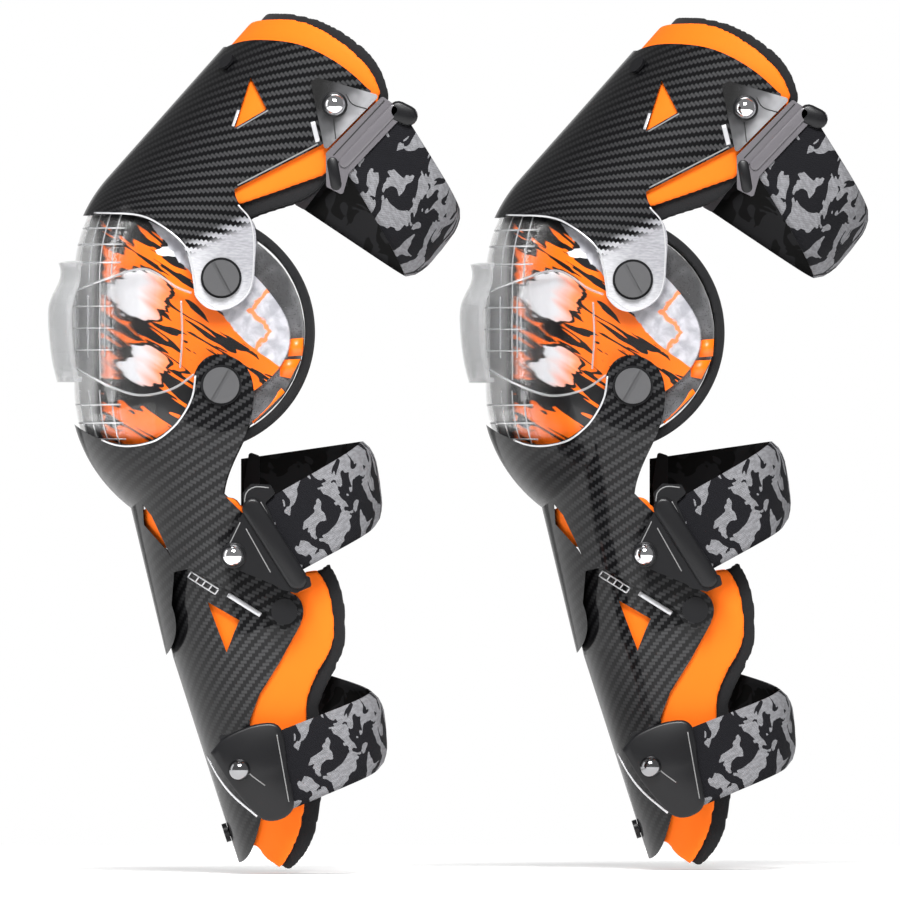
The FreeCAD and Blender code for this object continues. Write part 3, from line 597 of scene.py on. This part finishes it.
def ring(place, level, radius, tube, segments=36, sides=10):
    """Round ring in the side view: its middle line has the given radius."""
    vertices, faces = [], []
    for step in range(segments):
        turn = 2 * math.pi * step / segments
        out = Vector((math.cos(turn), 0, math.sin(turn)))
        for corner in range(sides):
            lean = 2 * math.pi * corner / sides
            vertices.append(Vector((place.x, level, place.y)) + out * (radius + tube * math.cos(lean))
                            + Vector((0, tube * math.sin(lean), 0)))
    for step in range(segments):
        for corner in range(sides):
            after = (corner + 1) % sides
            beyond = (step + 1) % segments
            faces.append((step * sides + corner, step * sides + after, beyond * sides + after,
                          beyond * sides + corner))
    return vertices, faces


# ---------------------------------------------------------------- hard parts

# The look of each hard node, and the width of its rounded edges.
HARD_NODES = {
    "knee_shell": ("print", 0.0),
    "knee_cap": ("clear", 0.5),
    "knee_band": ("clear", 0.5),
    "knee_bumper": ("clear_bumper", 0.8),
    "pivot_screws": ("satin", 0.35),
    "pivot_washers": ("black", 0.2),
    "pivot_nuts": ("satin", 0.3),
    "thigh_shell": ("thigh_carbon", 0.5),
    "thigh_studs": ("black", 0.4),
    "shin_shell": ("shin_carbon", 0.5),
    "ankle_shell": ("ankle_carbon", 0.5),
    "ankle_pivots": ("black", 0.8),
    "ankle_snap": ("black", 0.5),
    "thigh_clip_rivets": ("chrome", 0.0),
    "shin_clip_rivets": ("chrome", 0.0),
    "ankle_clip_rivets": ("dark_chrome", 0.0),
    "thigh_clip": ("smoke", 0.5),
    "thigh_clip_bars": ("hinge_grey", 0.8),
    "shin_clip": ("black", 0.8),
    "ankle_clip": ("black", 0.8),
}


def finish_hard_parts():
    for name, (look, bevel) in HARD_NODES.items():
        finish_node(name, look, bevel)


# Edge lines of the hard parts in the side view, as cut in the frame.
THIGH_LOW_EDGE = [(-70, 64.5), (-46.8, 63.2), (-34, 57.8), (-20.9, 46.8), (-17, 36.3), (-14.5, 20)]
THIGH_EAR = [(-14.5, 20), (0, 11.6), (15, 20.5), (18.6, 40), (17.2, 60), (9.9, 70)]
SHIN_TOP_EDGE = [(-84, -48.4), (-58.9, -61), (-39.6, -60), (-28, -52.8), (-20.9, -44), (-16.5, -34.6),
                 (-15, -24)]
BAND_TOP_EDGE = [(-82, 23), (-63.8, 29.7), (-41.8, 35.2), (-24.2, 25.3), (-16, 22)]
BAND_LOW_EDGE = [(-14.3, -24.2), (-27, -32.4), (-45.1, -35.7), (-63.8, -29.7), (-84, -19)]


def add_edge_highlights():
    """Painted highlights: bright lines along the edges of the shells and of the clear parts, and two down the
    cup.
    """
    # Painted highlights along the thigh shell's low edge and the edge of its ear, and along the shin shell's
    # top edge.
    low = aside(smooth_run(THIGH_LOW_EDGE), 0.9)
    ear = aside(smooth_run(THIGH_EAR), 0.8)
    add_strips("thigh_edge_highlight", "thigh_shell", [low], 1.0, 0.35, "trim", "thigh", "carbon_shell")
    add_strips("thigh_ear_line", "thigh_shell", [ear], 0.8, 0.3, "trim", "thigh", "carbon_shell")
    top = aside(smooth_run(SHIN_TOP_EDGE), -0.9)
    add_strips("shin_edge_highlight", "shin_shell", [top], 1.0, 0.35, "trim", "shin", "carbon_shell")
    # Painted highlights along the band's top and low edges, and painted glints down the cup.
    band_lines = [aside(smooth_run(BAND_TOP_EDGE), -0.9), aside(smooth_run(BAND_LOW_EDGE), -0.9)]
    add_strips("band_edge_highlight", "knee_band", band_lines, 1.3, 0.5, "clear_line", "root", "clear_shell")
    glints = [straight_run([(-66.5, 28), (-66.8, 0), (-66.5, -26)]),
              smooth_run([(-22, 17), (-21.4, -2), (-22.5, -20)])]
    add_strips("cup_highlight_lines", "knee_band", glints, 1.1, 0.35, "clear_line", "root", "clear_shell")


def add_small_marks():
    """Fine lines: painted highlights on the thigh's window edge, rear edges and corner and on the ankle's
    arc, and the ankle's ladder and bar.
    """
    # Painted highlight along the edge of the thigh's window.
    window = [straight_run([(9.4, 121.5), (6.4, 112.6)])]
    add_strips("window_edge_highlight", "thigh_shell", window, 1.7, 0.3, "trim", "thigh", "carbon_shell")
    # Painted highlights along the thigh shell's rear edges.
    rear = [straight_run([(9, 80.2), (53, 102.8)]), straight_run([(8.6, 111.4), (25.6, 121.2)])]
    add_strips("thigh_rear_edge_highlight", "thigh_shell", rear, 0.8, 0.25, "edge_grey", "thigh", "carbon_shell")
    # Painted reflection: a white glint on the thigh shell's corner beside the clip.
    corner = [straight_run([(53.0, 104.0), (50.2, 115)])]
    add_strips("thigh_corner_glint", "thigh_shell", corner, 2.6, 0.25, "trim", "thigh", "carbon_shell")
    rails = [straight_run([(-16.5, -131.8), (-1.5, -141.2)]), straight_run([(-18.5, -134.6), (-3.5, -144.0)])]
    for share in (0.0, 0.28, 0.52, 0.76, 1.0):
        top = Vector((-16.5, -131.8)).lerp(Vector((-1.5, -141.2)), share)
        rails.append(straight_run([top, top + Vector((-2.0, -2.8))], 0.8))
    add_strips("ankle_ladder", "ankle_shell", rails, 0.8, 0.35, "trim", "ankle", "carbon_shell")
    bar = [straight_run([(3.6, -144.2), (21.5, -155.4)])]
    add_strips("ankle_bar", "ankle_shell", bar, 2.7, 0.4, "trim", "ankle", "carbon_shell")
    # Painted highlight: a bright arc along an edge of the ankle shell.
    arc = [smooth_run([(-8, -233.5), (-2, -244.5), (6, -254.5), (19.6, -266.0)])]
    add_strips("ankle_arc_highlight", "ankle_shell", arc, 1.6, 0.4, "trim", "ankle", "carbon_shell")


def rounded_bar(start, end, half_width, inner, outer, ends=8):
    """Plate with round ends and a domed top between two places; outer may be on either side of inner."""
    start, end = Vector(start), Vector(end)
    ahead = (end - start).normalized()
    aside_way = Vector((-ahead.y, ahead.x))
    outline = []
    for centre, turn_from in ((end, -90), (start, 90)):
        for part in range(ends + 1):
            turn = math.radians(turn_from + 180 * part / ends)
            outline.append((centre, ahead * math.cos(turn) + aside_way * math.sin(turn)))
    vertices = []
    rings = [(inner, 1.0), (inner + (outer - inner) * 0.6, 1.0), (inner + (outer - inner) * 0.88, 0.9),
             (outer, 0.68)]
    for level, share in rings:
        for centre, way in outline:
            place = centre + way * half_width * share
            vertices.append(Vector((place.x, level, place.y)))
    return vertices, tube_faces(len(rings), len(outline))


def rounded_plate(points, inner, outer):
    """Plate with a smooth outline and a softened rim."""
    outline = smooth_run(list(points) + [points[0]], 2.0)[:-1]
    middle = sum(outline, Vector((0, 0))) / len(outline)
    vertices = []
    rings = [(inner, 1.0), (inner + (outer - inner) * 0.6, 1.0), (outer, 0.94)]
    for level, share in rings:
        for place in outline:
            drawn_in = middle + (place - middle) * share
            vertices.append(Vector((drawn_in.x, level, drawn_in.y)))
    return vertices, tube_faces(len(rings), len(outline))


def add_level_lines(name, runs, level, width, height, look, body, slot_name):
    """Raised strips on the outside of a flat clip plate, near side only."""
    outward = Vector((0, -1, 0))
    parts = []
    for run in runs:
        landed = [(Vector((place.x, -level, place.y)), outward) for place in run]
        parts.append(strip(landed, width, height))
    add_pair(name, *merge(parts), look, body, slot_name)


def add_thigh_clip_details():
    """End caps, ridge and dark lines of the near thigh clip and its bar; the bar's dark lines are painted
    shade in its grooves.
    """
    caps = merge([rounded_bar((97.0, 120.8), (102.2, 118.2), 5.6, -80.2, -86.0),
                  rounded_bar((61.0, 92.5), (63.0, 80.4), 3.6, -80.2, -85.4)])
    add_pair("thigh_bar_ends", *caps, "black", "thigh_band", "black_plastic")
    ridge = rounded_bar((67.5, 92.8), (94.5, 121.5), 3.0, -84.6, -86.0)
    add_pair("thigh_bar_ridge", *ridge, "hinge_grey", "thigh_band", "grey_bar")
    # Painted shade: dark strips where the bar has grooves beside its ridge.
    bar_lines = [straight_run([(61.5, 96.5), (89.5, 126.5)]), straight_run([(64.0, 92.6), (93.4, 124.0)])]
    add_level_lines("thigh_bar_lines", bar_lines, 84.8, 0.7, 0.3, "matt_black", "thigh_band", "grey_bar")
    clip_lines = [straight_run([(61.6, 116.4), (62.8, 105.6)]),
                  smooth_run([(68.4, 130.0), (72, 124.6), (80.6, 121.8)])]
    add_level_lines("thigh_clip_lines", clip_lines, 82.4, 0.6, 0.2, "matt_black", "thigh_band", "grey_clip")


def add_shin_clip_details():
    """Bar of the near shin clip, and painted highlights along its edges."""
    bar = rounded_bar((17.0, -97.0), (41.5, -135.5), 5.6, -69.4, -72.0)
    add_pair("shin_clip_bar", *bar, "black", "shin_band", "black_plastic")
    # Painted highlights along the clip's edges and along the hump of its loop.
    lines = [straight_run([(21.6, -93.4), (41.0, -129.0)]), straight_run([(1.6, -122.5), (10.4, -104.5)]),
             smooth_run([(12.6, -96), (13.6, -88.6), (18.4, -85.2), (26.0, -85.6)]),
             straight_run([(13.5, -108), (27, -132)])]
    add_level_lines("shin_clip_edge_highlights", lines, 70.0, 0.6, 0.25, "edge_grey", "shin_band", "black_plastic")


def add_ankle_clip_details():
    """Smooth cover of the near ankle clip, and painted highlights along its edges."""
    cover = rounded_plate([(-6.0, -231), (2.5, -222), (20, -215.2), (32.5, -217.5), (36.5, -240),
                           (39.2, -262), (24, -268), (7, -251)], -58.2, -60.2)
    add_pair("ankle_clip_cover", *cover, "black", "ankle_band", "black_plastic")
    # Painted highlights along the cover's edges.
    lines = [smooth_run([(12.5, -238.5), (16, -243), (24, -249)]), straight_run([(30.4, -221), (37.0, -258)])]
    add_level_lines("ankle_clip_edge_highlights", lines, 60.2, 0.6, 0.25, "edge_grey", "ankle_band", "black_plastic")


def add_orange_tabs():
    """Small orange tabs and a thin line behind the tail of the printed shell."""
    level, thickness = 64.0, 1.2
    outlines = [[(38.0, -4), (45.0, -3.4), (44.4, -13), (36.6, -13.6)],
                [(33.5, -15.4), (43.4, -15), (38, -25.6), (29.8, -24)],
                [(33.0, -31), (34.8, -33.2), (17.4, -50.4), (16.4, -48.6)]]
    parts = []
    for way in (-1, 1):
        for outline in outlines:
            parts.append(flat_plate(outline, way * level, way * (level + thickness)))
    add_pair("orange_tabs", *merge(parts), "orange_plastic", "root", "printed_shell")


CUP_MIDDLE = -10        # X of the upright line that the cup's grid is laid round
RIB_STEPS = 30


def cup_ray(lean, level):
    """Ray from outside onto the front of the cup at one level, lean degrees from straight ahead."""
    turn = math.radians(lean)
    way = Vector((-math.cos(turn), math.sin(turn), 0))
    return Vector((CUP_MIDDLE, 0, level)) + way * OUTSIDE, -way


def upright_rib(node, lean, low, high, width, height):
    """Rib up the front of the cup, lean degrees from straight ahead."""
    levels = [low + (high - low) * part / RIB_STEPS for part in range(RIB_STEPS + 1)]
    return strip(drape(node, [cup_ray(lean, level) for level in levels]), width, height)


def level_rib(node, level, half_turn, width, height):
    """Rib round the front of the cup at one level, half_turn degrees to each side."""
    leans = [half_turn * (part / RIB_STEPS - 1) for part in range(2 * RIB_STEPS + 1)]
    return strip(drape(node, [cup_ray(lean, level) for lean in leans]), width, height)


def add_cap_ribs():
    """Raised grid over the very front of the clear cap and of the band across it."""
    parts = []
    for lean in (-47, -39, -30, -19, 19, 30, 39, 47):
        parts.append(upright_rib("knee_cap", lean, 27, 76, 1.1, CAP_RIB))
        parts.append(upright_rib("knee_cap", lean, -74, -32, 1.1, CAP_RIB))
    for level in (66, 57, 48, 38, -40, -50, -59, -67):
        parts.append(level_rib("knee_cap", level, 52, 1.0, CAP_RIB))
    add_pair("cap_ribs", *merge(parts), "clear_line", "root", "clear_shell")
    parts = [upright_rib("knee_band", lean, -14, 20, 1.0, 0.5) for lean in (-45, -33, -20, 20, 33, 45)]
    parts += [level_rib("knee_band", level, 50, 0.8, 0.4) for level in (14, 2, -10)]
    add_pair("band_ribs", *merge(parts), "clear_line", "root", "clear_shell")


def add_rivet_rings():
    """Dark rings round the rivets' balls, on both sides of the leg."""
    for name, place, level in (("thigh", THIGH_RIVET, 82.7), ("shin", SHIN_RIVET, 70.3),
                               ("ankle", ANKLE_RIVET, 59.1)):
        parts = [ring(place, way * level, 6.4, 0.7) for way in (-1, 1)]
        add_pair(name + "_rivet_ring", *merge(parts), "black", name, "black_plastic")


# ---------------------------------------------------------------- straps

WEBBING_HALF = 1.2          # half the thickness of the webbing
WEBBING_WIDTH = 47.0
WEBBING_RIBS = 26           # how close its fine lengthwise ribs are
FOLD_DROP = 5.0             # how far the fold's upper and lower corners are drawn in
FULLNESS = 0.62             # below one, the loop is squarer than an oval
PATTERN = 100.0             # length of one unit of the camouflage
LOOP_STEPS = 96
WIDTH_STEPS = 12


def tucked(end, folds, tuck):
    """Two lines beyond an end of the loop, straight on from the fold into the clip."""
    ways = [Vector((place.x - fold[0], 0, place.z - fold[1])).normalized() for place, fold in zip(end, folds)]
    return [[place + way * tuck * share for place, way in zip(end, ways)] for share in (1.0, 0.5)]


def strap_lines(near, near_end, far, far_end, fold, fold_end, level, tucks):
    """Lines across a webbing loop, from its tuck in the near clip round the fold to that in the far one."""
    lines = []
    for step in range(LOOP_STEPS + 1):
        turn = math.pi * step / LOOP_STEPS
        back = math.sin(turn) ** FULLNESS if 0 < step < LOOP_STEPS else 0.0
        across = math.copysign(abs(math.cos(turn)) ** FULLNESS, math.cos(turn))
        upper_start, lower_start = (near, near_end) if turn <= math.pi / 2 else (far, far_end)
        upper = Vector(upper_start).lerp(Vector(fold), back)
        lower = Vector(lower_start).lerp(Vector(fold_end), back)
        lines.append([Vector((place.x, -across * level, place.y)) for place in (upper, lower)])
    folds = (fold, fold_end)
    return tucked(lines[0], folds, tucks[0]) + lines + tucked(lines[-1], folds, tucks[1])[::-1]


def strap_vertices(lines, lengths, profile, bow):
    """Places round the webbing's section at each of its lines; bow bends it across its width."""
    reaches = [upper.x + lower.x for upper, lower in lines]
    vertices = []
    for index, (upper, lower) in enumerate(lines):
        before = lines[max(index - 1, 0)]
        after = lines[min(index + 1, len(lines) - 1)]
        run = (after[0] + after[1]) - (before[0] + before[1])
        outward = (lower - upper).cross(run).normalized()
        share = lengths[index] / lengths[-1]
        ease_in = min(share * 8, (1 - share) * 8, 1)
        back = (reaches[index] - min(reaches)) / (max(reaches) - min(reaches))
        for part, face_side in profile:
            edge = min(part, 1 - part) * 2
            ribs = 0.94 + 0.06 * math.cos(part * WEBBING_RIBS)
            thin = WEBBING_HALF * (0.45 + 0.55 * min(edge * 6, 1)) * ribs
            lift = (bow * ease_in + FOLD_DROP * back ** 8 * (1 - edge) ** 2) * (1 - edge) ** 2
            vertices.append(upper.lerp(lower, part) + outward * (face_side * thin - lift))
    return vertices


def strap_places(lengths, profile):
    """Place of each side face's corners along and across the strap, and which faces are inside."""
    wide = WEBBING_WIDTH / PATTERN
    face_places, inner = [], []
    for start, end in zip(lengths, lengths[1:]):
        for index, (row, face_side) in enumerate(profile):
            next_row, next_side = profile[(index + 1) % len(profile)]
            if face_side < 0 and next_side < 0:
                inner.append(len(face_places))
            corners = ((start, row), (start, next_row), (end, next_row), (end, row))
            face_places.append([(run / PATTERN, across * wide) for run, across in corners])
    return face_places, inner


def add_strap(name, places, level, body, bow, tucks):
    """Webbing loop with rounded edges, camouflage outside and plain inside."""
    lines = strap_lines(*places, level, tucks)
    profile = [(part / WIDTH_STEPS, 1) for part in range(WIDTH_STEPS + 1)]
    profile += [(1 - part / WIDTH_STEPS, -1) for part in range(WIDTH_STEPS + 1)]
    lengths = [0.0]
    for before, after in zip(lines, lines[1:]):
        step = ((after[0] + after[1]) - (before[0] + before[1])).length / 2
        lengths.append(lengths[-1] + step)
    vertices = strap_vertices(lines, lengths, profile, bow)
    faces = tube_faces(len(lines), len(profile))
    face_places, inner = strap_places(lengths, profile)
    face_places += [[(0, 0)] * len(profile)] * 2
    add_pair(name, vertices, faces, "camo", body, "webbing", name, face_places, inner)


# Each strap's places: top and foot of its near end, of its far end and of its fold.
THIGH_STRAP = [(102.5, 116), (71.5, 83), (73.6, 105.2), (45.8, 67.2), (134.7, 64.4), (105, 27.5)]
SHIN_STRAP = [(26.6, -91), (43, -131.4), (20.9, -68.2), (20.9, -113.6), (82.4, -59.4), (89, -106.2)]
ANKLE_STRAP = [(31.6, -219), (40, -261.4), (21.6, -178), (26.4, -222), (87.4, -197.6), (91, -240)]


def add_straps():
    add_strap("thigh_strap", THIGH_STRAP, 82.5, "thigh_band", 0.5, (7, 5))
    add_strap("shin_strap", SHIN_STRAP, 67.6, "shin_band", 0.5, (8, 11))
    add_strap("ankle_strap", ANKLE_STRAP, 56.4, "ankle_band", 0.5, (6, 8))


# ---------------------------------------------------------------- soft parts

def applied(item):
    """The object's mesh with its modifiers applied, in place of the one it had."""
    settled = bpy.data.meshes.new_from_object(item.evaluated_get(bpy.context.evaluated_depsgraph_get()))
    item.modifiers.clear()
    item.data = settled


def puff(item, pressure, cap):
    """Short cloth run under inner pressure; no point moves further than the cap, in metres."""
    rest = [vertex.co.copy() for vertex in item.data.vertices]
    cloth = item.modifiers.new("cloth", "CLOTH")
    cloth.settings.use_pressure = True
    cloth.settings.uniform_pressure_force = pressure
    cloth.settings.effector_weights.gravity = 0
    for moment in range(1, 21):
        bpy.context.scene.frame_set(moment)
    applied(item)
    bpy.context.scene.frame_set(1)
    for vertex, start in zip(item.data.vertices, rest):
        moved = vertex.co - start
        if moved.length > cap:
            vertex.co = start + moved * (cap / moved.length)


def soft_copy(node, voxel, rounds, shrink, pressure, cap):
    """Vertices and faces of a soft part in millimetres: its solid remeshed and smoothed.

    With a pressure it is also drawn in a little first, puffed, and made finer at the end.
    """
    source = NODES["left_" + node]
    item = bpy.data.objects.new(node + "_soft", source.data.copy())
    bpy.context.scene.collection.objects.link(item)
    remesh = item.modifiers.new("even", "REMESH")
    remesh.mode = "VOXEL"
    remesh.voxel_size = voxel * MM
    applied(item)
    if pressure:
        normals = [vertex.normal.copy() for vertex in item.data.vertices]
        for vertex, normal in zip(item.data.vertices, normals):
            vertex.co = vertex.co - normal * shrink * MM
        puff(item, pressure, cap * MM)
    smooth = item.modifiers.new("soft", "SMOOTH")
    smooth.iterations = rounds
    smooth.factor = 0.5
    if pressure:
        item.modifiers.new("finer", "SUBSURF").levels = 1
    applied(item)
    vertices = [vertex.co / MM for vertex in item.data.vertices]
    faces = [tuple(polygon.vertices) for polygon in item.data.polygons]
    bpy.data.objects.remove(item)
    return vertices, faces


def add_soft(node, voxel, rounds, look, body, slot_name, shrink=0.0, pressure=0.0, cap=0.0):
    vertices, faces = soft_copy(node, voxel, rounds, shrink, pressure, cap)
    for item in add_pair(node, vertices, faces, look, body, slot_name, node):
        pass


def add_soft_parts():
    """Thin foam, linings and the rim keep their cut edges; the knee pad is puffed by a cloth run."""
    for part in ("thigh", "shin", "ankle"):
        add_soft(part + "_foam", 1.5, 5, "foam", part, "orange_foam")
    for part in ("thigh", "ankle"):
        add_soft(part + "_lining", 1.6, 5, "lining", part, "black_lining")
    add_soft("knee_pad", 3.0, 1, "mesh_fabric", "root", "grey_mesh", 0.4, 4.0, 0.8)
    add_soft("knee_rim", 1.6, 1, "lining", "root", "black_lining")


# ---------------------------------------------------------------- floor, light and camera

def add_floor():
    low = min(vertex.co.z for node in NODES.values() for vertex in node.data.vertices)
    half_size = 1.3
    gap = 0.002
    corners = [(0.125 + x * half_size, 0.1 + y * half_size, low - gap)
               for x, y in ((-1, -1), (1, -1), (1, 1), (-1, 1))]
    mesh = bpy.data.meshes.new("floor")
    mesh.from_pydata(corners, [], [(0, 1, 2, 3)])
    floor = bpy.data.objects.new("floor", mesh)
    bpy.context.scene.collection.objects.link(floor)
    pale = Finish("pale_floor", Base_Color=(0.93, 0.93, 0.93, 1), Roughness=0.9, Emission_Color=(1, 1, 1, 1),
                  Emission_Strength=0.45)
    mesh.materials.append(pale.material)


def add_world():
    """White surroundings straight behind the guards, grey everywhere else."""
    world = bpy.data.worlds.new("studio")
    bpy.context.scene.world = world
    world.use_nodes = True
    nodes = world.node_tree.nodes
    links = world.node_tree.links
    background = nodes["Background"]
    where = nodes.new("ShaderNodeTexCoord")
    split = nodes.new("ShaderNodeSeparateXYZ")
    links.new(where.outputs["Generated"], split.inputs[0])
    fade = nodes.new("ShaderNodeMapRange")
    fade.interpolation_type = "SMOOTHSTEP"
    links.new(split.outputs[1], fade.inputs["Value"])
    for label, number in (("From Min", 0.92), ("From Max", 0.997), ("To Min", 0.22), ("To Max", 1.0)):
        fade.inputs[label].default_value = number
    links.new(fade.outputs[0], background.inputs["Strength"])
    background.inputs["Color"].default_value = (1, 1, 1, 1)


def add_lamp(name, place, target, size, energy):
    data = bpy.data.lights.new(name, "AREA")
    data.shape = "RECTANGLE"
    data.size, data.size_y = size
    data.energy = energy
    lamp = bpy.data.objects.new(name, data)
    lamp.location = Vector(place)
    lamp.rotation_mode = "QUATERNION"
    lamp.rotation_quaternion = (Vector(target) - Vector(place)).to_track_quat("-Z", "Y")
    bpy.context.scene.collection.objects.link(lamp)


def add_camera():
    """Straight side view from far off, so that both guards show at the same size."""
    data = bpy.data.cameras.new("camera")
    data.sensor_width = 36.0
    data.lens = 1454.0
    data.clip_start = 1.0
    data.clip_end = 60.0
    camera = bpy.data.objects.new("camera", data)
    camera.location = (0.1254, -20.0, -0.0649)
    camera.rotation_euler = (math.pi / 2, 0, 0)
    bpy.context.scene.collection.objects.link(camera)
    bpy.context.scene.camera = camera


def add_studio():
    middle = (0.12, 0.1, -0.06)
    add_floor()
    add_world()
    add_lamp("front_light", (0.1, -1.9, 2.1), middle, (1.3, 1.0), 150)
    add_lamp("left_light", (-2.0, 0.1, 0.5), middle, (0.9, 1.8), 7)
    add_lamp("low_light", (0.4, -1.6, -2.0), middle, (0.9, 0.7), 16)
    add_camera()
    bpy.context.scene.view_settings.view_transform = "Standard"


finish_hard_parts()
add_edge_highlights()
add_small_marks()
add_cap_ribs()
add_rivet_rings()
add_thigh_clip_details()
add_shin_clip_details()
add_ankle_clip_details()
add_orange_tabs()
add_straps()
add_soft_parts()
add_studio()
